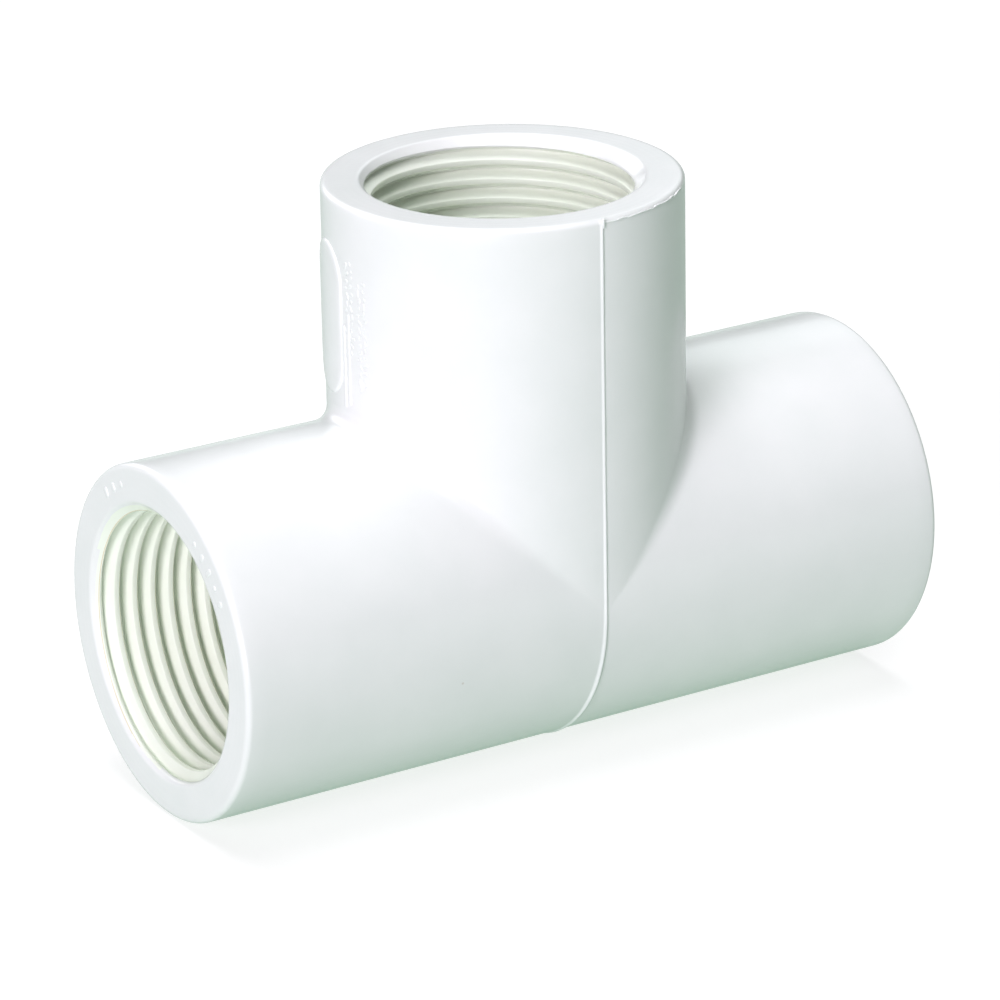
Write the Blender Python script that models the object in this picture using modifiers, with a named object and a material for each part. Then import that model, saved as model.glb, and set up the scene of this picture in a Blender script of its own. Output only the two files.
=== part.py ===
"""Moulded PVC pipe tee with an internal tapered pipe thread in each of its three mouths.

The run lies along X and the branch rises along +Z. The origin is where their centre lines cross.
One moulding makes the whole fitting, so the model is one body, cut by turned and helical cutters.
"""
import math

import bmesh
import bpy
from mathutils import Matrix, Vector

MM = 0.001
INCH = 25.4 * MM

# Driving dimensions of a 3/4 inch fitting
RUN_D = 32.7 * MM             # outside diameter of the run
BRANCH_D = 32.6 * MM          # outside diameter of the branch, a touch under the run's
RUN_REACH = 36.7 * MM         # from the origin to each end face of the run
BRANCH_REACH = 36.9 * MM      # and to the branch's end face
WATERWAY_D = 21.0 * MM        # plain bore between the threaded mouths
RIM_ROUND = 0.5 * MM          # rounding of each end face's outer edge

# Tapered pipe thread, 3/4-14, right hand
PITCH = INCH / 14
TAPER = 1 / 32                # radius lost for each unit of depth
CREST_D = 23.7 * MM           # across the thread's crests, at the end face
GROOVE_DEPTH = 1.1 * MM       # crest to root
HALF_ANGLE = math.radians(30)  # between a flank and the plane across the axis
THREAD_DEPTH = 16.6 * MM      # end face to the bottom of the threaded socket
CHAMFER_D = 25.8 * MM         # lead-in cone, at the end face

# Mesh fineness
BODY_SEGMENTS = 96
BORE_SEGMENTS = 36            # facets around a mouth, and steps in one turn of its thread
RIM_SEGMENTS = 2
BORE_PHASE = 0.25             # turn of the bores' facets against the thread's, in facets
ENVELOPE_PHASE = 0.5          # and of the thread's envelope

# How far one shape reaches past the next, so that cuts and joins have no shared faces
OVERSHOOT = 2.0 * MM
SPARE_TURNS = 3               # turns of thread beyond the socket's own
BELOW_CENTRE = 0.4 * MM       # where branch shapes start, hidden inside the run's own
MERGE = 0.01 * MM             # points closer than this are one point
SHARP_ANGLE = math.radians(25)

PVC_WHITE = (0.86, 0.87, 0.86, 1.0)


def clear_scene():
    """Remove every object that the file opened with."""
    for obj in list(bpy.data.objects):
        bpy.data.objects.remove(obj, do_unlink=True)


def new_collection(name):
    """Make a collection in the scene and return it."""
    collection = bpy.data.collections.new(name)
    bpy.context.scene.collection.children.link(collection)
    return collection


def move_to(obj, collection):
    """Leave obj in this collection only."""
    for other in list(obj.users_collection):
        other.objects.unlink(obj)
    collection.objects.link(obj)


def make_cutter(obj, cutters):
    """Put obj with the cutters, out of the render."""
    move_to(obj, cutters)
    obj.display_type = 'WIRE'
    obj.hide_render = True


def add_boolean(obj, tool, operation):
    """Join or cut obj with tool."""
    boolean = obj.modifiers.new(tool.name, 'BOOLEAN')
    boolean.operation = operation
    boolean.solver = 'EXACT'
    boolean.object = tool


def apply_transform(obj):
    """Write the object's place into its mesh."""
    obj.data.transform(obj.matrix_basis)
    obj.matrix_basis = Matrix.Identity(4)


def plastic_material():
    """White rigid PVC, moulded with a soft gloss."""
    material = bpy.data.materials.new('white_pvc')
    material.use_nodes = True
    shader = material.node_tree.nodes['Principled BSDF']
    shader.inputs['Base Color'].default_value = PVC_WHITE
    shader.inputs['Roughness'].default_value = 0.38
    shader.inputs['Metallic'].default_value = 0.0
    return material


def barrel(name, diameter, low, high, axis):
    """A round bar from low to high along axis, with rounded end edges."""
    turn = Vector((0, 0, 1)).rotation_difference(Vector(axis)).to_euler()
    bpy.ops.mesh.primitive_cylinder_add(
        vertices=BODY_SEGMENTS,
        radius=diameter / 2,
        depth=high - low,
        location=Vector(axis) * (low + high) / 2,
        rotation=turn,
    )
    obj = bpy.context.active_object
    obj.name = name
    apply_transform(obj)
    bevel = obj.modifiers.new('rim', 'BEVEL')
    bevel.width = RIM_ROUND
    bevel.segments = RIM_SEGMENTS
    bevel.limit_method = 'ANGLE'
    bevel.angle_limit = math.radians(60)  # the end edges only, not the facets' own
    return obj


def outline_object(name, points):
    """A chain of edges through (radius, height) points, outer side first to last running down."""
    mesh = bpy.data.meshes.new(name)
    edges = [(i, i + 1) for i in range(len(points) - 1)]
    mesh.from_pydata([(radius, 0, height) for radius, height in points], edges, [])
    obj = bpy.data.objects.new(name, mesh)
    bpy.context.scene.collection.objects.link(obj)
    return obj


def add_screw(obj, turns, rise_per_turn):
    """Spin the outline about Z, climbing by rise_per_turn."""
    screw = obj.modifiers.new('turn', 'SCREW')
    screw.axis = 'Z'
    screw.angle = math.tau
    screw.iterations = turns
    screw.screw_offset = rise_per_turn
    screw.steps = BORE_SEGMENTS
    screw.render_steps = BORE_SEGMENTS
    screw.use_merge_vertices = rise_per_turn == 0
    screw.merge_threshold = MERGE


def turned_cutter(name, profile, phase):
    """Solid of revolution about Z, turned by this many facets so that no two cutters' edges meet."""
    obj = outline_object(name, profile)
    obj.data.transform(Matrix.Rotation(phase * math.tau / BORE_SEGMENTS, 4, 'Z'))
    add_screw(obj, turns=1, rise_per_turn=0)
    return obj


def mouth_profile(bore, face):
    """Lead-in cone and bore at the end face at this height along Z, outermost point first."""
    outward = math.copysign(1, face)
    cone = (CHAMFER_D - bore) / 2
    return [
        (0, face + outward * OVERSHOOT),
        (CHAMFER_D / 2 + OVERSHOOT, face + outward * OVERSHOOT),
        (bore / 2, face - outward * cone),
    ]


def run_bore_cutter():
    """The plain waterway right through the run, with a lead-in cone at each end face."""
    top = mouth_profile(WATERWAY_D, RUN_REACH)
    bottom = mouth_profile(WATERWAY_D, -RUN_REACH)
    cutter = turned_cutter('run_bore', top + bottom[::-1], BORE_PHASE)
    cutter.rotation_euler = (0, math.pi / 2, 0)
    return cutter


def branch_bore_cutter():
    """The branch's waterway, from its end face down into the run's."""
    bore = WATERWAY_D - (RUN_D - BRANCH_D)
    top = mouth_profile(bore, BRANCH_REACH)
    bottom = [(bore / 2, -BELOW_CENTRE), (0, -BELOW_CENTRE)]
    return turned_cutter('branch_bore', top + bottom, BORE_PHASE)


def socket_envelope(name):
    """The space that the thread may fill: a cylinder that ends in the socket's 45 degree shoulder."""
    reach = CREST_D / 2 + 2 * GROOVE_DEPTH
    crest_at_bottom = CREST_D / 2 - TAPER * THREAD_DEPTH
    shoulder_start = reach - crest_at_bottom - THREAD_DEPTH
    profile = [
        (0, OVERSHOOT),
        (reach, OVERSHOOT),
        (reach, shoulder_start),
        (0, shoulder_start - reach),
    ]
    return turned_cutter(name, profile, ENVELOPE_PHASE)


def thread_profile():
    """One pitch of the plug that cuts the thread, top to bottom: a crest flat, then a 60 degree V."""
    crest = CREST_D / 2
    half_groove = GROOVE_DEPTH * math.tan(HALF_ANGLE)
    flat = PITCH - 2 * half_groove
    return [
        (crest, 0),
        (crest, -flat),
        (crest + GROOVE_DEPTH, -flat - half_groove),
        (crest, -PITCH),
    ]


def close_ends(shape):
    """Close a helicoid's two open ends, each with a fan of triangles to a point on the axis."""
    heights = [vertex.co.z for vertex in shape.verts]
    middle = (min(heights) + max(heights)) / 2
    caps = bmesh.ops.holes_fill(shape, edges=shape.edges)['faces']
    tips = bmesh.ops.poke(shape, faces=caps)['verts']
    for tip in tips:
        outward = math.copysign(PITCH, tip.co.z - middle)
        tip.co = (0, 0, tip.co.z + outward)


def taper_thread(shape):
    """Narrow a straight thread with depth below height 0."""
    for vertex in shape.verts:
        radius = vertex.co.xy.length
        if radius > 0:
            vertex.co.xy *= 1 + TAPER * vertex.co.z / radius


def threaded_plug(name):
    """Tapered, threaded solid about Z that reaches past both ends of a socket."""
    turns = math.ceil(THREAD_DEPTH / PITCH) + SPARE_TURNS
    outline = outline_object(name, thread_profile())
    add_screw(outline, turns, PITCH)
    graph = bpy.context.evaluated_depsgraph_get()
    mesh = bpy.data.meshes.new_from_object(outline.evaluated_get(graph))
    shape = bmesh.new()
    shape.from_mesh(mesh)
    bmesh.ops.remove_doubles(shape, verts=shape.verts, dist=MERGE)
    bmesh.ops.translate(shape, verts=shape.verts, vec=(0, 0, (SPARE_TURNS / 2 - turns) * PITCH))
    close_ends(shape)
    taper_thread(shape)
    bmesh.ops.recalc_face_normals(shape, faces=shape.faces)
    shape.to_mesh(mesh)
    shape.free()
    outline.modifiers.clear()
    outline.data = mesh
    return outline


def mouth_place(face):
    """Matrix that takes a thread made about Z, with height 0 at the end face, to the face centred here."""
    face = Vector(face)
    turn = Vector((0, 0, 1)).rotation_difference(face.normalized()).to_matrix().to_4x4()
    return Matrix.Translation(face) @ turn


def thread_cutter(name, face, cutters):
    """The threaded plug for one mouth, kept to the socket's own space."""
    plug = threaded_plug(name)
    envelope = socket_envelope(name + '_envelope')
    envelope.parent = plug
    make_cutter(envelope, cutters)
    add_boolean(plug, envelope, 'INTERSECT')
    plug.matrix_world = mouth_place(face)
    return plug


def main():
    clear_scene()
    pieces = new_collection('pvc_tee_fitting')
    cutters = new_collection('cutters')

    body = barrel('tee_body', RUN_D, -RUN_REACH, RUN_REACH, (1, 0, 0))
    move_to(body, pieces)
    body.data.materials.append(plastic_material())

    branch = barrel('branch_barrel', BRANCH_D, -BELOW_CENTRE, BRANCH_REACH, (0, 0, 1))
    make_cutter(branch, cutters)
    add_boolean(body, branch, 'UNION')

    faces = {
        'run_left_thread': (-RUN_REACH, 0, 0),
        'run_right_thread': (RUN_REACH, 0, 0),
        'branch_thread': (0, 0, BRANCH_REACH),
    }
    tools = [run_bore_cutter(), branch_bore_cutter()]
    tools += [thread_cutter(name, face, cutters) for name, face in faces.items()]
    for tool in tools:
        make_cutter(tool, cutters)
        add_boolean(body, tool, 'DIFFERENCE')

    body.data.shade_smooth()
    body.data.set_sharp_from_angle(angle=SHARP_ANGLE)


main()
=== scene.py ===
"""Looks of the threaded PVC pipe tee: a fine closed mesh in moulded white plastic, on a pale floor."""

import math

import bmesh
import bpy
import numpy as np
from mathutils import Matrix, Vector


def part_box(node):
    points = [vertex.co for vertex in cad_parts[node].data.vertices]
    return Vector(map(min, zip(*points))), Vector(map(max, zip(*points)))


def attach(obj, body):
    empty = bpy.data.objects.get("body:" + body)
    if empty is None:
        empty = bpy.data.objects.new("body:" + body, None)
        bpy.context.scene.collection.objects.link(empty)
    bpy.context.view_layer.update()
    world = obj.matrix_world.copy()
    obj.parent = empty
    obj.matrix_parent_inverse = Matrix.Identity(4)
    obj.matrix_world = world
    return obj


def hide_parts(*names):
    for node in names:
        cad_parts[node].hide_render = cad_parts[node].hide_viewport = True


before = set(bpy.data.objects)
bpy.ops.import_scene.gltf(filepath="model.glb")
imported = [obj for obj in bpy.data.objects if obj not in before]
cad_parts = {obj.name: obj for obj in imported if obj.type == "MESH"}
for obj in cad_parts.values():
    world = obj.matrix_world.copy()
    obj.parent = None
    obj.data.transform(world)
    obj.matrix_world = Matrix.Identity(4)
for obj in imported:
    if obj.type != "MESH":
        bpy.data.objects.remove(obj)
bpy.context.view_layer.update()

MM = 0.001

# Sizes taken from the frame
LOW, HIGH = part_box("tee_body")
BODY_R = (HIGH.y - LOW.y) / 2          # outside radius of the run and the branch
RUN_REACH = HIGH.x                     # origin to each run face
BRANCH_REACH = HIGH.z                  # origin to the branch face

# Sizes that follow the CAD model's design
RIM_ROUND = 0.55 * MM
LIP_ROUND = 0.4 * MM                   # between an end face and its lead-in cone
CHAMFER_R = 12.9 * MM                  # lead-in cone at the end face
CREST_R = 11.85 * MM                   # thread crests at the end face
GROOVE_DEPTH = 1.1 * MM
PITCH = 25.4 * MM / 14
TAPER = 1 / 32                         # radius lost for each unit of depth
SOCKET_DEPTH = 16.6 * MM
WATERWAY_R = 10.5 * MM
CONE_ANGLE = math.radians(45)          # of the lead-in cone and of the socket's shoulder
CONE_END = CHAMFER_R - CREST_R         # depth at which the cone meets the thread's crests
SHOULDER_END = SOCKET_DEPTH + CREST_R - TAPER * SOCKET_DEPTH - WATERWAY_R

# The thread's section over one pitch. Phase 0 is the middle of a crest and 0.5 is the root
FLANK_ANGLE = math.radians(30)         # between a flank and the plane across the axis
HALF_GROOVE = GROOVE_DEPTH * math.tan(FLANK_ANGLE) / PITCH   # half the groove's width, in pitches
CREST_END = 0.5 - HALF_GROOVE          # phase at which the crest flat ends
ROOT_ROUND = 0.04                      # rounding of the root, in half grooves
CREST_ROUND = 0.012                    # and of the crest's edges, in groove depths
EDGE_PHASES = [CREST_END + a for a in (-0.028, -0.01, 0.008, 0.032)]
ROOT_PHASES = [0.32, 0.44, 0.5, 0.56, 0.68]
THREAD_PHASES = [0.0] + EDGE_PHASES + ROOT_PHASES + [1 - a for a in EDGE_PHASES[::-1]]
SHADE_LINE_ROWS = (1, 2)                # rows of faces, in each turn, at the crest flat's end, painted with a shade line

# How each thread begins: depths below the end face, and the pitches by which it is turned
LIP_END = 0.25 * MM                    # the lip has turned into the cone
THREAD_START = 0.12 * MM               # the groove deepens from here
THREAD_LEAD = 0.45 * MM                # over this depth
LEFT_TURN = 0.836 - CREST_END          # as in the photo
RIGHT_TURN = 0.1                       # out of sight in the photo
BRANCH_TURN = 0.898 - CREST_END        # as in the photo

# Fillets
SADDLE_FILLET = 1.25 * MM              # where branch and run meet, at the top of the run
FLANK_FILLET = 3.0 * MM                # and on its sides
INNER_EDGE = 0.4 * MM                  # rounding where the waterways meet

# Parting line in the plane X = 0
FLASH_HALF_WIDTH = 0.17 * MM
FLASH_HEIGHT = 0.14 * MM
FLASH_WIDER = 0.35                     # added share of its width round the run
FLASH_HIGHER = 0.4                     # and of its height
FLASH_TURN_START = 0.15 * BODY_R       # it grows from this height
FLASH_TURN_LENGTH = 0.6 * BODY_R       # over this drop
FLASH_UNEVEN = 0.2
FLASH_WAVES = (7 * MM, 3.1 * MM)
FLASH_WAVE_START = 0.6
FLASH_FADE = 8                         # degrees beside the run's lowest line

# The blank pad on the branch: degrees round it from +X, and height above the run's centre line
PAD_ANGLE = 164.5
PAD_HEIGHT = 25.5 * MM
PAD_SIZE = (3.5 * MM, 3.65 * MM)       # half width, and half length of the straight sides
PAD_LIFT = 0.22 * MM

# The ribs beside it: degrees from the pad, height and half length of each
RIBS = ((13, 21.8 * MM, 3.65 * MM), (15.8, 22.6 * MM, 4.05 * MM))
RIB_HALF_WIDTH = 0.22 * MM
RIB_LIFT = 0.12 * MM

# Plain dots and dashes on the branch: degrees round, top height and number of pairs in each column
MARK_COLUMNS = ((181.0, 31.5 * MM, 13), (187.6, 30.1 * MM, 15))
MARK_STEP = 0.69 * MM
MARK_STAGGER = 0.15 * MM               # a pair's one mark above and its other below their row
MARK_HALF_WIDTH = 0.16 * MM
MARK_LENGTH_STEP = 0.07 * MM           # half lengths are 0 to 3 of these
MARK_LIFT = 0.08 * MM
MARK_SINK = 0.12 * MM                  # how far a mark's underside lies inside the wall

# Dots on the left end face
FACE_MARK_LIFT = 0.1 * MM
BACK_DOTS_R = 14.55 * MM
FRONT_DOTS_R = 14.3 * MM

# Ragged flash on the branch's rim
BURR_ANGLE = 271.5                     # degrees round the branch where it starts
BURR_STEP = 3.3                        # and from each piece to the next
BURR_PIECES = 13
BEAD_TURN = -1.1                       # small bead where the parting line meets it

# Mesh fineness
MARK_POINTS = 20
COLUMN_STEP = 2.5                      # degrees
FINE_COLUMNS = (0.0, 0.24, 0.48, 0.72, 0.96, 1.4)   # degrees beside the parting line
FINE_ROWS = np.array([0.085, 0.17, 0.26, 0.4]) * MM
ROW_CROWDING = 1.15                    # 1 for even rows
OUTER_ROWS = 26
INNER_ROWS = 8
ARC_ROWS = 9
RIM_ROWS = 6
FACE_ROWS = 12
FACE_RING_DEPTH = 0.006 * MM           # faint turned rings on the end faces
FLAT_TURN = 1e-4                       # below this angle an arc is a line, in radians
MERGE = 0.002 * MM

# The tee's material slots: the plain plastic, its painted shade copy in the bores, and its tan painted
# shade line on the crests' back edges
OUTSIDE, SHADED_INSIDE, CREST_SHADE_LINE = 0, 1, 2


# ---------------------------------------------------------------- the tee's mesh

def half_turn():
    """Column angles from -90 to 90 degrees, finer at both ends, where the parting line runs."""
    steps = round(180 / COLUMN_STEP)
    inner = [-90 + COLUMN_STEP * i for i in range(1, steps)]
    ends = [-90 + a for a in FINE_COLUMNS] + [90 - a for a in FINE_COLUMNS]
    return np.radians(sorted(set(inner + ends)))


HALF = half_turn()
RING = np.concatenate([HALF, math.pi - HALF[-2:0:-1]])


def along_samples(reach, rows):
    """Places from 0 (an end) to 1 (the middle), closer together near the middle."""
    coarse = 1 - (1 - np.linspace(0, 1, rows)) ** ROW_CROWDING
    fine = 1 - FINE_ROWS / reach
    return np.array(sorted(set(np.round(np.concatenate([coarse, fine]), 6))))


class Skin:
    """Grids of points, joined into one mesh."""

    def __init__(self):
        self.points = []
        self.faces = []
        self.materials = []
        self.count = 0

    def add_points(self, grid):
        """Store a rows x columns grid and return the index of each of its points."""
        rows, columns = grid.shape[:2]
        index = self.count + np.arange(rows * columns).reshape(rows, columns)
        self.points.append(grid.reshape(-1, 3))
        self.count += rows * columns
        return index

    def add_faces(self, index, material):
        """Quads between neighbouring rows and columns of an index grid."""
        a, b = index[:-1, :-1], index[:-1, 1:]
        c, d = index[1:, 1:], index[1:, :-1]
        quads = np.stack([a, b, c, d], axis=-1).reshape(-1, 4)
        self.faces.append(quads)
        self.materials.append(np.broadcast_to(material, a.shape).reshape(-1))

    def add_grid(self, grid, material):
        self.add_faces(self.add_points(grid), material)

    def add_closed_grid(self, grid, material):
        """A grid whose last column meets its first."""
        index = self.add_points(grid)
        self.add_faces(np.concatenate([index, index[:, :1]], axis=1), material)

    def build(self, name, materials):
        """Join the grids where they meet, and return the object."""
        mesh = bpy.data.meshes.new(name)
        points, faces = np.concatenate(self.points), np.concatenate(self.faces)
        mesh.from_pydata(points.tolist(), [], faces.tolist())
        for material in materials:
            mesh.materials.append(material)
        slots = np.concatenate(self.materials).astype(np.int32)
        mesh.polygons.foreach_set("material_index", slots)
        shape = bmesh.new()
        shape.from_mesh(mesh)
        bmesh.ops.remove_doubles(shape, verts=shape.verts, dist=MERGE)
        bmesh.ops.recalc_face_normals(shape, faces=shape.faces)
        shape.to_mesh(mesh)
        shape.free()
        obj = bpy.data.objects.new(name, mesh)
        bpy.context.scene.collection.objects.link(obj)
        mesh.shade_smooth()
        return obj


def stack(x, y, z):
    return np.stack(np.broadcast_arrays(x, y, z), axis=-1)


def elbow(radius, fillets, run_reach, branch_reach, side, rows):
    """From one run end along the run, round the fillet and up the branch, on one side of X = 0.

    A ball of the fillet's radius rolls along both walls, at radius + fillet from both axes.
    """
    sin, cos = np.sin(HALF), np.cos(HALF)
    saddle, flank = fillets
    fillet = flank + (saddle - flank) * cos ** 2
    contact = (radius + fillet) * cos
    u = along_samples(run_reach, rows)[:, None]
    run = stack(side * (run_reach + (contact - run_reach) * u), radius * sin, radius * cos)
    centre = stack(side * contact, (radius + fillet) * sin, contact)
    from_run = stack(0 * cos, sin, cos)
    from_branch = stack(side * cos, sin, 0 * cos)
    turn = np.arccos(np.clip(sin ** 2, -1, 1))
    flat = turn < FLAT_TURN
    safe = np.where(flat, 1, np.sin(turn))
    arc = []
    for v in np.linspace(0, 1, ARC_ROWS + 1)[1:-1]:
        first = np.where(flat, 1 - v, np.sin((1 - v) * turn) / safe)
        second = np.where(flat, v, np.sin(v * turn) / safe)
        inward = first[:, None] * from_run + second[:, None] * from_branch
        arc.append(centre - fillet[:, None] * inward)
    w = 1 - along_samples(branch_reach, rows)[::-1][:, None]
    branch = stack(side * radius * cos, radius * sin, contact + (branch_reach - contact) * w)
    return np.concatenate([run, np.array(arc), branch])


def under_side(radius, run_reach, rows):
    """The lower half of the run, from end to end."""
    u = along_samples(run_reach, rows)
    x = np.concatenate([-run_reach * (1 - u), (run_reach * (1 - u))[-2::-1]])[:, None]
    return stack(x, radius * np.sin(HALF), -radius * np.cos(HALF))


def add_tube_skin(skin, radius, fillets, run_reach, branch_reach, rows, material):
    """Walls of this radius round both axes: the tee's outside, or its waterways."""
    for side in (-1, 1):
        skin.add_grid(elbow(radius, fillets, run_reach, branch_reach, side, rows), material)
    skin.add_grid(under_side(radius, run_reach, rows), material)


def raise_flash(points):
    """Raise the parting line on outer points near X = 0, thicker and wider round the run."""
    x, y, z = points.T
    round_run = np.clip((FLASH_TURN_START - z) / FLASH_TURN_LENGTH, 0, 1)
    across = np.abs(x) / (FLASH_HALF_WIDTH * (1 + FLASH_WIDER * round_run))
    lift = FLASH_HEIGHT * (1 + FLASH_HIGHER * round_run) * np.clip(1 - across ** 2, 0, 1)
    long_wave, short_wave = FLASH_WAVES
    waves = np.sin(z / long_wave + FLASH_WAVE_START) * np.sin(z / short_wave)
    lift *= 1 - FLASH_UNEVEN / 2 + FLASH_UNEVEN * waves
    angle_below = np.degrees(np.arctan2(-z, np.abs(y)))
    lift *= np.clip((90 - angle_below) / FLASH_FADE, 0, 1)
    lift *= np.clip((BRANCH_REACH - z) / RIM_ROUND, 0, 1)
    upper = z > 0
    nx = np.where(upper, x, 0)
    nz = np.where(upper, 0, z)
    length = np.sqrt(nx ** 2 + y ** 2 + nz ** 2)
    outer = length > BODY_R - 1.01 * RIM_ROUND   # with the rounded rim, but not the waterways
    lift = np.where(outer, lift / np.maximum(length, RIM_ROUND), 0)
    return points + lift[:, None] * stack(nx, y, nz)


def groove(phase):
    """Depth of the thread's groove, from 0 on the crest flat to 1 at the root, over one pitch."""
    q = np.abs(phase % 1 - 0.5) / HALF_GROOVE
    wall = 1 - (np.sqrt(q ** 2 + ROOT_ROUND ** 2) - ROOT_ROUND)
    return (wall + np.sqrt(wall ** 2 + CREST_ROUND ** 2)) / 2


def place(radius, depth, cos_axis, sin_axis, outward, reach):
    """Points at a radius and a depth below the end face, for every column of the ring."""
    radius, depth = np.broadcast_arrays(radius, depth)
    across = np.cos(RING)[:, None] * cos_axis + np.sin(RING)[:, None] * sin_axis
    return radius[..., None] * across + (reach - depth)[..., None] * outward


def rim_profile():
    """Radius and depth from the outer wall over the rim and the end face into the lead-in cone."""
    rim = [(BODY_R - RIM_ROUND * (1 - math.cos(a)), RIM_ROUND * (1 - math.sin(a)))
           for a in np.linspace(0, math.pi / 2, RIM_ROWS)]
    flat_from = BODY_R - RIM_ROUND
    lip_start = CHAMFER_R + LIP_ROUND * math.tan(CONE_ANGLE / 2)
    face = [(flat_from + (lip_start - flat_from) * k / FACE_ROWS,
             FACE_RING_DEPTH if k % 3 == 1 else 0.0) for k in range(1, FACE_ROWS + 1)]
    lip = [(lip_start - LIP_ROUND * math.sin(a), LIP_ROUND * (1 - math.cos(a)))
           for a in CONE_ANGLE * np.array([1, 2, 3]) / 3]
    return np.array(rim + face + lip)


def wall_radius(depth, turned, hand, shift):
    """Inner wall of a mouth: lead-in cone, tapered thread, shoulder, waterway."""
    phase = (depth + hand * PITCH * turned / math.tau) / PITCH - shift
    lead = np.clip((depth - THREAD_START) / THREAD_LEAD, 0, 1)
    thread = CREST_R - TAPER * depth + GROOVE_DEPTH * lead * groove(phase)
    cone = CHAMFER_R - depth
    shoulder = CREST_R - TAPER * SOCKET_DEPTH + SOCKET_DEPTH - depth
    return np.maximum(np.minimum(np.maximum(thread, cone), shoulder), WATERWAY_R)


def mouth_materials(depth, wrapped, inside_from, edge_shade_material):
    """Slot of each face of a mouth: outside, then the painted shade of the inside, and the painted
    shade line on the crest's back edge.
    """
    inside = (depth > inside_from).astype(int)
    inside = np.concatenate([inside, inside[wrapped, :1]], axis=1)
    corners = inside[:-1, :-1] + inside[:-1, 1:] + inside[1:, 1:] + inside[1:, :-1]
    material = np.where(corners > 2, SHADED_INSIDE, OUTSIDE)
    row_of_turn = np.arange(len(depth) - 1) % len(THREAD_PHASES)
    on_shade_line = np.isin(row_of_turn, SHADE_LINE_ROWS)[:, None]
    return np.where(on_shade_line & (corners == 4), edge_shade_material, material)


def add_mouth(skin, axes, reach, shift, inside_from, edge_shade_material):
    """One end of the tee, from the outer wall round the rim and down the thread to the waterway.

    The axes are those of the ring's cosine and sine, and the way out. The rows of points run along
    the thread, so a row's last column meets the first column of the row one turn away.
    """
    cos_axis, sin_axis, outward = (np.array(v, float) for v in axes)
    hand = float(np.sign(np.cross(cos_axis, sin_axis) @ outward))
    profile = rim_profile()
    rim = place(profile[:, :1], profile[:, 1:], cos_axis, sin_axis, outward, reach)
    skin.add_closed_grid(rim, OUTSIDE)

    top_radius, top = profile[-1]
    turns = range(-2, math.ceil(SHOULDER_END / PITCH) + 3)
    base = np.array([(k + phase + shift) * PITCH for k in turns for phase in THREAD_PHASES])
    turned = RING + math.pi / 2
    depth = np.clip(base[:, None] - hand * PITCH * turned / math.tau, top, SHOULDER_END)
    radius = wall_radius(depth, turned[None, :], hand, shift)
    radius = np.where(depth <= top, top_radius, radius)
    index = skin.add_points(place(radius, depth, cos_axis, sin_axis, outward, reach))
    turn_away = np.arange(len(base)) - int(hand) * len(THREAD_PHASES)
    wrapped = np.clip(turn_away, 0, len(base) - 1)
    material = mouth_materials(depth, wrapped, inside_from, edge_shade_material)
    skin.add_faces(np.concatenate([index, index[wrapped, :1]], axis=1), material)


def build_tee(materials):
    """The whole moulding: outer walls, waterways and three mouths."""
    skin = Skin()
    add_tube_skin(skin, BODY_R, (SADDLE_FILLET, FLANK_FILLET), RUN_REACH - RIM_ROUND,
                  BRANCH_REACH - RIM_ROUND, OUTER_ROWS, OUTSIDE)
    add_tube_skin(skin, WATERWAY_R, (INNER_EDGE, INNER_EDGE), RUN_REACH - SHOULDER_END,
                  BRANCH_REACH - SHOULDER_END, INNER_ROWS, SHADED_INSIDE)
    x_axis, y_axis, z_axis = (1, 0, 0), (0, 1, 0), (0, 0, 1)
    left = (-1, 0, 0)
    add_mouth(skin, (z_axis, y_axis, left), RUN_REACH, LEFT_TURN, LIP_END, CREST_SHADE_LINE)
    add_mouth(skin, (z_axis, y_axis, x_axis), RUN_REACH, RIGHT_TURN, LIP_END, CREST_SHADE_LINE)
    add_mouth(skin, (x_axis, y_axis, z_axis), BRANCH_REACH, BRANCH_TURN, CONE_END, SHADED_INSIDE)
    skin.points = [raise_flash(block) for block in skin.points]
    return skin.build("tee", materials)


# ---------------------------------------------------------------- raised marks

def stadium(half_width, spine, tilt):
    """Points round a stadium outline of this half width about a spine of this half length."""
    turn = np.linspace(0, math.tau, MARK_POINTS, endpoint=False) + math.pi / MARK_POINTS
    u = half_width * np.cos(turn)
    v = half_width * np.sin(turn) + spine * np.sign(np.sin(turn))
    return u * math.cos(tilt) - v * math.sin(tilt), u * math.sin(tilt) + v * math.cos(tilt)


def add_mark(skin, surface, size, height, tilt=0.0, spread=1):
    """A closed raised stadium with a rounded edge, its underside sunk in the surface."""
    half_width, spine = size
    edge = min(1.4 * height, 0.5 * half_width)   # how far in the rounded edge reaches
    foot = 0.15 * height                         # the straight side below it
    top = [(0, -MARK_SINK), (0, foot)]
    top += [(edge * (1 - math.cos(a)), foot + (height - foot) * math.sin(a))
            for a in np.radians([30, 60, 90])]
    top += [(edge + (half_width - edge) * k / spread, height) for k in range(1, spread + 1)]
    under = [(half_width * k / spread, -MARK_SINK) for k in range(spread + 1)]
    for side in (top, under):
        outlines = [stadium(half_width - inset, spine, tilt) + (lift,) for inset, lift in side]
        skin.add_closed_grid(np.array([surface(u, v, out) for u, v, out in outlines]), 0)


def branch_wall(angle, height):
    """Maps (around, up, out) beside a place on the branch's wall to a point."""
    def surface(u, v, out):
        turned = math.radians(angle) + u / BODY_R
        x, y = (BODY_R + out) * np.cos(turned), (BODY_R + out) * np.sin(turned)
        return stack(x, y, height + v)
    return surface


def left_face(angle, radius):
    """Maps (around, outward, out) beside a place on the left end face to a point."""
    def surface(u, v, out):
        turned = math.radians(angle) + u / radius
        y, z = (radius + v) * np.cos(turned), (radius + v) * np.sin(turned)
        return stack(-RUN_REACH - out, y, z)
    return surface


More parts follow.
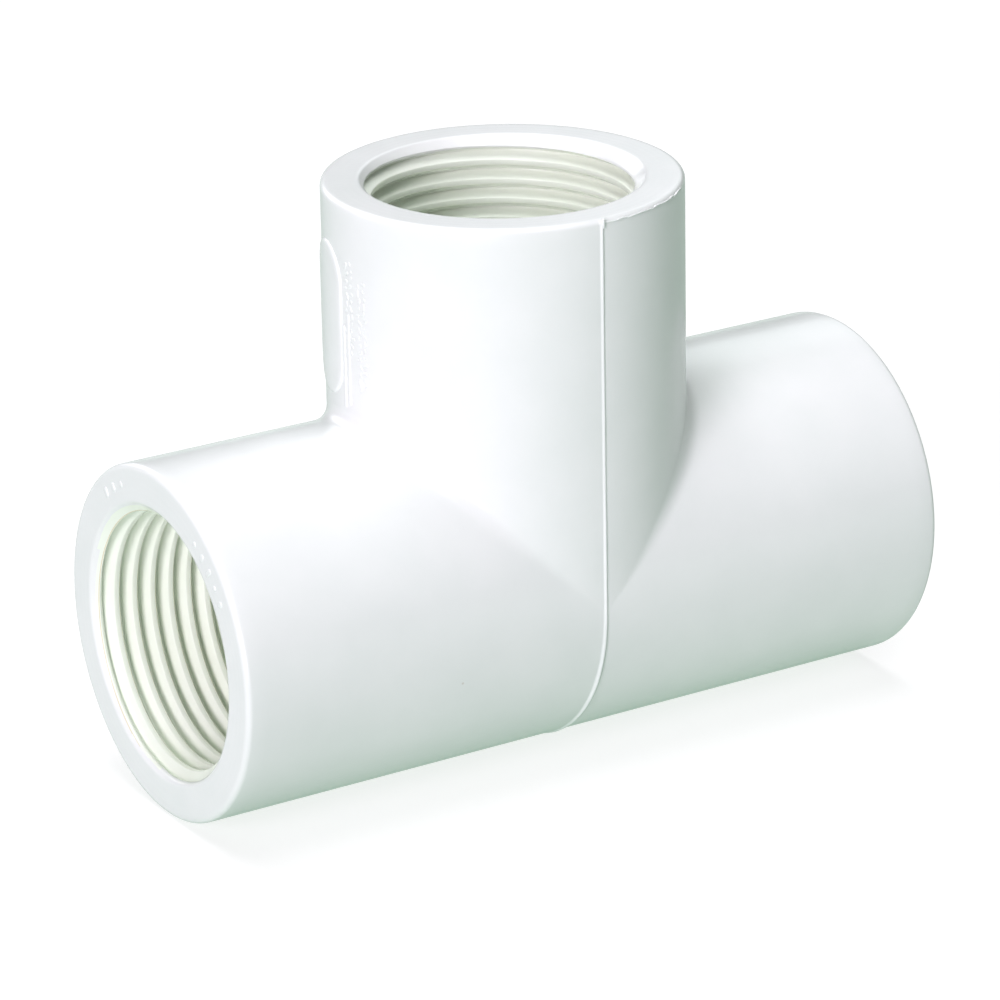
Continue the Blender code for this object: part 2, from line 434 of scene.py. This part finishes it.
def build_pad(material):
    """The blank raised pad on the branch, with two slim ribs beside it."""
    skin = Skin()
    add_mark(skin, branch_wall(PAD_ANGLE, PAD_HEIGHT), PAD_SIZE, PAD_LIFT, spread=6)
    for turn, height, spine in RIBS:
        add_mark(skin, branch_wall(PAD_ANGLE + turn, height), (RIB_HALF_WIDTH, spine), RIB_LIFT)
    return skin.build("side_pad", [material])


def add_wall_marks(skin):
    """Two columns of dots and dashes on the branch, in pairs of uneven length, tilt and place."""
    for column, (angle, top, count) in enumerate(MARK_COLUMNS):
        for k in range(count):
            for half in (-1, 1):
                spine = MARK_LENGTH_STEP * ((k * 3 + column + half) % 4)
                tilt = math.radians((k * 5 + column * 2 + half) % 6 * 30)
                side = 1.25 * half + 0.4 * ((k * 2 + column) % 3 - 1)
                spot = branch_wall(angle + side, top - MARK_STEP * k + MARK_STAGGER * half)
                add_mark(skin, spot, (MARK_HALF_WIDTH, spine), MARK_LIFT, tilt)


def build_marks(material):
    """Plain dots and dashes in two columns on the branch, and a few on the left end face."""
    skin = Skin()
    add_wall_marks(skin)
    for k in range(3):
        size = (0.3 * MM, 0.12 * MM * (2 - k))
        add_mark(skin, left_face(54 + 6.5 * k, BACK_DOTS_R), size, FACE_MARK_LIFT)
    for k in range(5):
        size = (0.27 * MM, 0.16 * MM * (k % 3))
        add_mark(skin, left_face(123 + 6 * k, FRONT_DOTS_R), size, FACE_MARK_LIFT)
    return skin.build("raised_marks", [material])


def build_burr(material):
    """Thin ragged line of moulding flash on the branch's rim, on the side away from the pad."""
    skin = Skin()
    for k in range(BURR_PIECES):
        height = BRANCH_REACH - (0.34 + 0.05 * math.sin(2.4 * k)) * MM
        size = (0.07 * MM, (0.55 + 0.25 * math.sin(1.7 * k)) * MM)
        lift = (0.05 + 0.03 * math.sin(3.1 * k)) * MM
        spot = branch_wall(BURR_ANGLE + BURR_STEP * k, height)
        add_mark(skin, spot, size, lift, math.radians(90))
    bead = branch_wall(BURR_ANGLE + BEAD_TURN, BRANCH_REACH - 0.35 * MM)
    add_mark(skin, bead, (0.16 * MM, 0.3 * MM), 0.2 * MM)
    return skin.build("rim_burr", [material])


# ---------------------------------------------------------------- materials

# Colours of the plastic and of its mottling: outside; in the bores, a greener and lighter copy that is
# painted shade, for the green-cream shade of light bouncing inside; and on the crests' back edges, a
# tan painted shade line
PVC_COLOURS = {
    "white_pvc": ((0.90, 0.92, 0.91), (0.86, 0.89, 0.875)),
    # Painted shade: the bores' copy of the plastic, greener and lighter, stands for light bouncing
    # inside them
    "white_pvc_bore_painted_shade": ((0.935, 0.985, 0.89), (0.91, 0.965, 0.85)),
    # Painted shade: a tan line on the crests' back edges, where the crest shades the groove
    "white_pvc_crest_shade_line": ((0.80, 0.745, 0.55), (0.75, 0.69, 0.49)),
}
SPECK_COLOUR = (0.74, 0.73, 0.69, 1)
SPECK_SHARE = 0.14                     # of the cells that have a speck
PVC_ROUGHNESS = (0.19, 0.26)
PVC_IOR = 1.53

FLOOR_COLOURS = (0.30, 0.32)
FLOOR_GLOW = (0.215, 0.325, 0.245, 1)  # soft bounce from the floor
FLOOR_LIFT = (0.74, 0.74, 0.74, 1)     # what the camera sees of it, so that the floor looks white


def add_noise(nodes, links, place_node, scale, detail):
    """A noise texture in the object's own coordinates."""
    noise = nodes.new("ShaderNodeTexNoise")
    noise.inputs["Scale"].default_value = scale
    noise.inputs["Detail"].default_value = detail
    links.new(place_node.outputs["Object"], noise.inputs["Vector"])
    return noise


def add_mottling(nodes, links, place_node, colour, shade):
    """Faint clouds between the two colours. Returns the colour output."""
    mottle = add_noise(nodes, links, place_node, scale=130, detail=5)
    ramp = nodes.new("ShaderNodeValToRGB")
    ramp.color_ramp.elements[0].position = 0.3
    ramp.color_ramp.elements[0].color = (*shade, 1)
    ramp.color_ramp.elements[1].position = 0.7
    ramp.color_ramp.elements[1].color = (*colour, 1)
    links.new(mottle.outputs["Fac"], ramp.inputs["Fac"])
    return ramp.outputs["Color"]


def add_specks(nodes, links, place_node):
    """A few tiny round specks. Returns the output that is 1 on a speck."""
    cells = nodes.new("ShaderNodeTexVoronoi")
    cells.inputs["Scale"].default_value = 210
    links.new(place_node.outputs["Object"], cells.inputs["Vector"])
    near = nodes.new("ShaderNodeMapRange")
    near.inputs["From Min"].default_value = 0.035
    near.inputs["From Max"].default_value = 0.02
    links.new(cells.outputs["Distance"], near.inputs["Value"])
    split = nodes.new("ShaderNodeSeparateColor")
    links.new(cells.outputs["Color"], split.inputs["Color"])
    rare = nodes.new("ShaderNodeMath")
    rare.operation = 'GREATER_THAN'
    rare.inputs[1].default_value = 1 - SPECK_SHARE
    links.new(split.outputs["Red"], rare.inputs[0])
    speck = nodes.new("ShaderNodeMath")
    speck.operation = 'MULTIPLY'
    links.new(near.outputs["Result"], speck.inputs[0])
    links.new(rare.outputs["Value"], speck.inputs[1])
    return speck.outputs["Value"]


def pvc(name):
    """Moulded white PVC, or one of its painted shade copies: faint mottling, a few specks, fine
    texture and uneven gloss.
    """
    material = bpy.data.materials.new(name)
    material.use_nodes = True
    nodes, links = material.node_tree.nodes, material.node_tree.links
    shader = nodes["Principled BSDF"]
    place_node = nodes.new("ShaderNodeTexCoord")

    tone = nodes.new("ShaderNodeMix")
    tone.data_type = 'RGBA'
    tone.inputs["B"].default_value = SPECK_COLOUR
    links.new(add_specks(nodes, links, place_node), tone.inputs["Factor"])
    links.new(add_mottling(nodes, links, place_node, *PVC_COLOURS[name]), tone.inputs["A"])
    links.new(tone.outputs["Result"], shader.inputs["Base Color"])

    gloss = add_noise(nodes, links, place_node, scale=320, detail=3)
    rough = nodes.new("ShaderNodeMapRange")
    rough.inputs["To Min"].default_value, rough.inputs["To Max"].default_value = PVC_ROUGHNESS
    links.new(gloss.outputs["Fac"], rough.inputs["Value"])
    links.new(rough.outputs["Result"], shader.inputs["Roughness"])

    grain = add_noise(nodes, links, place_node, scale=2600, detail=2)
    bump = nodes.new("ShaderNodeBump")
    bump.inputs["Strength"].default_value = 0.12
    bump.inputs["Distance"].default_value = 0.05 * MM
    links.new(grain.outputs["Fac"], bump.inputs["Height"])
    links.new(bump.outputs["Normal"], shader.inputs["Normal"])

    shader.inputs["IOR"].default_value = PVC_IOR
    return material


def add_camera_mix(nodes, links, elsewhere, seen):
    """One colour for the camera and another for all other light. Returns the colour output."""
    rays = nodes.new("ShaderNodeLightPath")
    mix = nodes.new("ShaderNodeMix")
    mix.data_type = 'RGBA'
    mix.inputs["A"].default_value = elsewhere
    mix.inputs["B"].default_value = seen
    links.new(rays.outputs["Is Camera Ray"], mix.inputs["Factor"])
    return mix.outputs["Result"]


def floor_material():
    """Pale matt floor, with a soft glow that brightens it for the camera."""
    material = bpy.data.materials.new("pale_floor")
    material.use_nodes = True
    nodes, links = material.node_tree.nodes, material.node_tree.links
    shader = nodes["Principled BSDF"]
    noise = nodes.new("ShaderNodeTexNoise")
    noise.inputs["Scale"].default_value = 6
    ramp = nodes.new("ShaderNodeValToRGB")
    for element, grey in zip(ramp.color_ramp.elements, FLOOR_COLOURS):
        element.color = (grey, grey, grey, 1)
    links.new(noise.outputs["Fac"], ramp.inputs["Fac"])
    links.new(ramp.outputs["Color"], shader.inputs["Base Color"])
    shader.inputs["Roughness"].default_value = 0.9
    links.new(add_camera_mix(nodes, links, FLOOR_GLOW, FLOOR_LIFT), shader.inputs["Emission Color"])
    shader.inputs["Emission Strength"].default_value = 1
    return material


# ---------------------------------------------------------------- stage, light, camera

FLOOR_SIZE = 8
FLOOR_GAP = 0.1 * MM                   # below the fitting's lowest point

LIGHT_DISTANCE = 1.2
LIGHT_TARGET = (0, 0, 0.01)
WORLD_GLOW = (0.01, 0.01, 0.01, 1)     # faint light from all round
WORLD_LIFT = (0.86, 0.86, 0.86, 1)     # what the camera sees beyond the floor

# Viewing angle: degrees around from -Y and above the fitting, and a slight roll
CAMERA_AZIMUTH = -31.63
CAMERA_ELEVATION = 21.48
CAMERA_ROLL = -1.058
CAMERA_DISTANCE = 12.473 * RUN_REACH
SENSOR_WIDTH = 36
FOCAL_RATIO = 4.972                    # focal length over picture width
LOOK_RIGHT = -0.00188                  # from the origin to the view's middle, as camera slopes
LOOK_UP = 0.01175


def add_floor():
    bpy.ops.mesh.primitive_plane_add(size=FLOOR_SIZE, location=(0, 0, LOW.z - FLOOR_GAP))
    floor = bpy.context.active_object
    floor.name = "floor"
    floor.data.materials.append(floor_material())


def direction(azimuth, elevation):
    """Unit vector at so many degrees round from +X and above the floor."""
    around, above = math.radians(azimuth), math.radians(elevation)
    level = math.cos(above)
    return Vector((math.cos(around) * level, math.sin(around) * level, math.sin(above)))


def add_light(name, azimuth, elevation, size, watts, colour):
    """A round soft light of this size in metres, aimed at the fitting."""
    light = bpy.data.lights.new(name, 'AREA')
    light.shape = 'DISK'
    light.size = size
    light.energy = watts
    light.color = colour
    obj = bpy.data.objects.new(name, light)
    obj.location = LIGHT_DISTANCE * direction(azimuth, elevation)
    aim = Vector(LIGHT_TARGET) - obj.location
    obj.rotation_euler = aim.to_track_quat('-Z', 'Y').to_euler()
    bpy.context.scene.collection.objects.link(obj)


def add_lights():
    add_light("overhead", 0, 90, 0.9, 10.2, (0.98, 0.97, 1.0))
    add_light("high_front", 252, 58, 0.7, 1.8, (0.85, 1.0, 0.91))
    add_light("key", 211, 22, 0.45, 8.1, (0.98, 0.89, 1.0))
    add_light("low_front", 225, 1, 0.35, 5.0, (0.98, 0.89, 1.0))
    add_light("back_right", 45, 28, 0.6, 0.9, (0.9, 0.97, 1.0))
    add_light("back", 95, 22, 0.6, 2.2, (0.95, 0.98, 1.0))
    add_light("high_back", 85, 52, 0.8, 1.7, (0.95, 0.98, 1.0))


def add_world():
    """Pale backdrop for the camera, which hardly lights the fitting."""
    world = bpy.data.worlds.new("studio")
    world.use_nodes = True
    nodes, links = world.node_tree.nodes, world.node_tree.links
    shade = add_camera_mix(nodes, links, WORLD_GLOW, WORLD_LIFT)
    links.new(shade, nodes["Background"].inputs["Color"])
    bpy.context.scene.world = world


def add_camera():
    azimuth, elevation = math.radians(CAMERA_AZIMUTH), math.radians(CAMERA_ELEVATION)
    level = math.cos(elevation)
    back = Vector((math.sin(azimuth) * level, -math.cos(azimuth) * level, math.sin(elevation)))
    right = (-back).cross(Vector((0, 0, 1))).normalized()
    up = right.cross(-back)
    roll = math.radians(CAMERA_ROLL)
    right, up = (math.cos(roll) * right + math.sin(roll) * up,
                 math.cos(roll) * up - math.sin(roll) * right)
    forward = (-back + LOOK_RIGHT * right + LOOK_UP * up).normalized()
    right = (right - right.dot(forward) * forward).normalized()
    up = right.cross(forward)
    data = bpy.data.cameras.new("camera")
    data.sensor_width = SENSOR_WIDTH
    data.lens = FOCAL_RATIO * SENSOR_WIDTH
    camera = bpy.data.objects.new("camera", data)
    turn = Matrix((right, up, -forward)).transposed().to_4x4()
    camera.matrix_world = Matrix.Translation(back * CAMERA_DISTANCE) @ turn
    bpy.context.scene.collection.objects.link(camera)
    bpy.context.scene.camera = camera


def main():
    bpy.context.scene.view_settings.view_transform = 'Standard'
    add_camera()
    add_floor()
    add_lights()
    add_world()
    slots = [pvc(name) for name in PVC_COLOURS]
    white = slots[OUTSIDE]
    tee = build_tee(slots)
    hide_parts("tee_body")
    for piece in (tee, build_pad(white), build_marks(white), build_burr(white)):
        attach(piece, "root")


main()
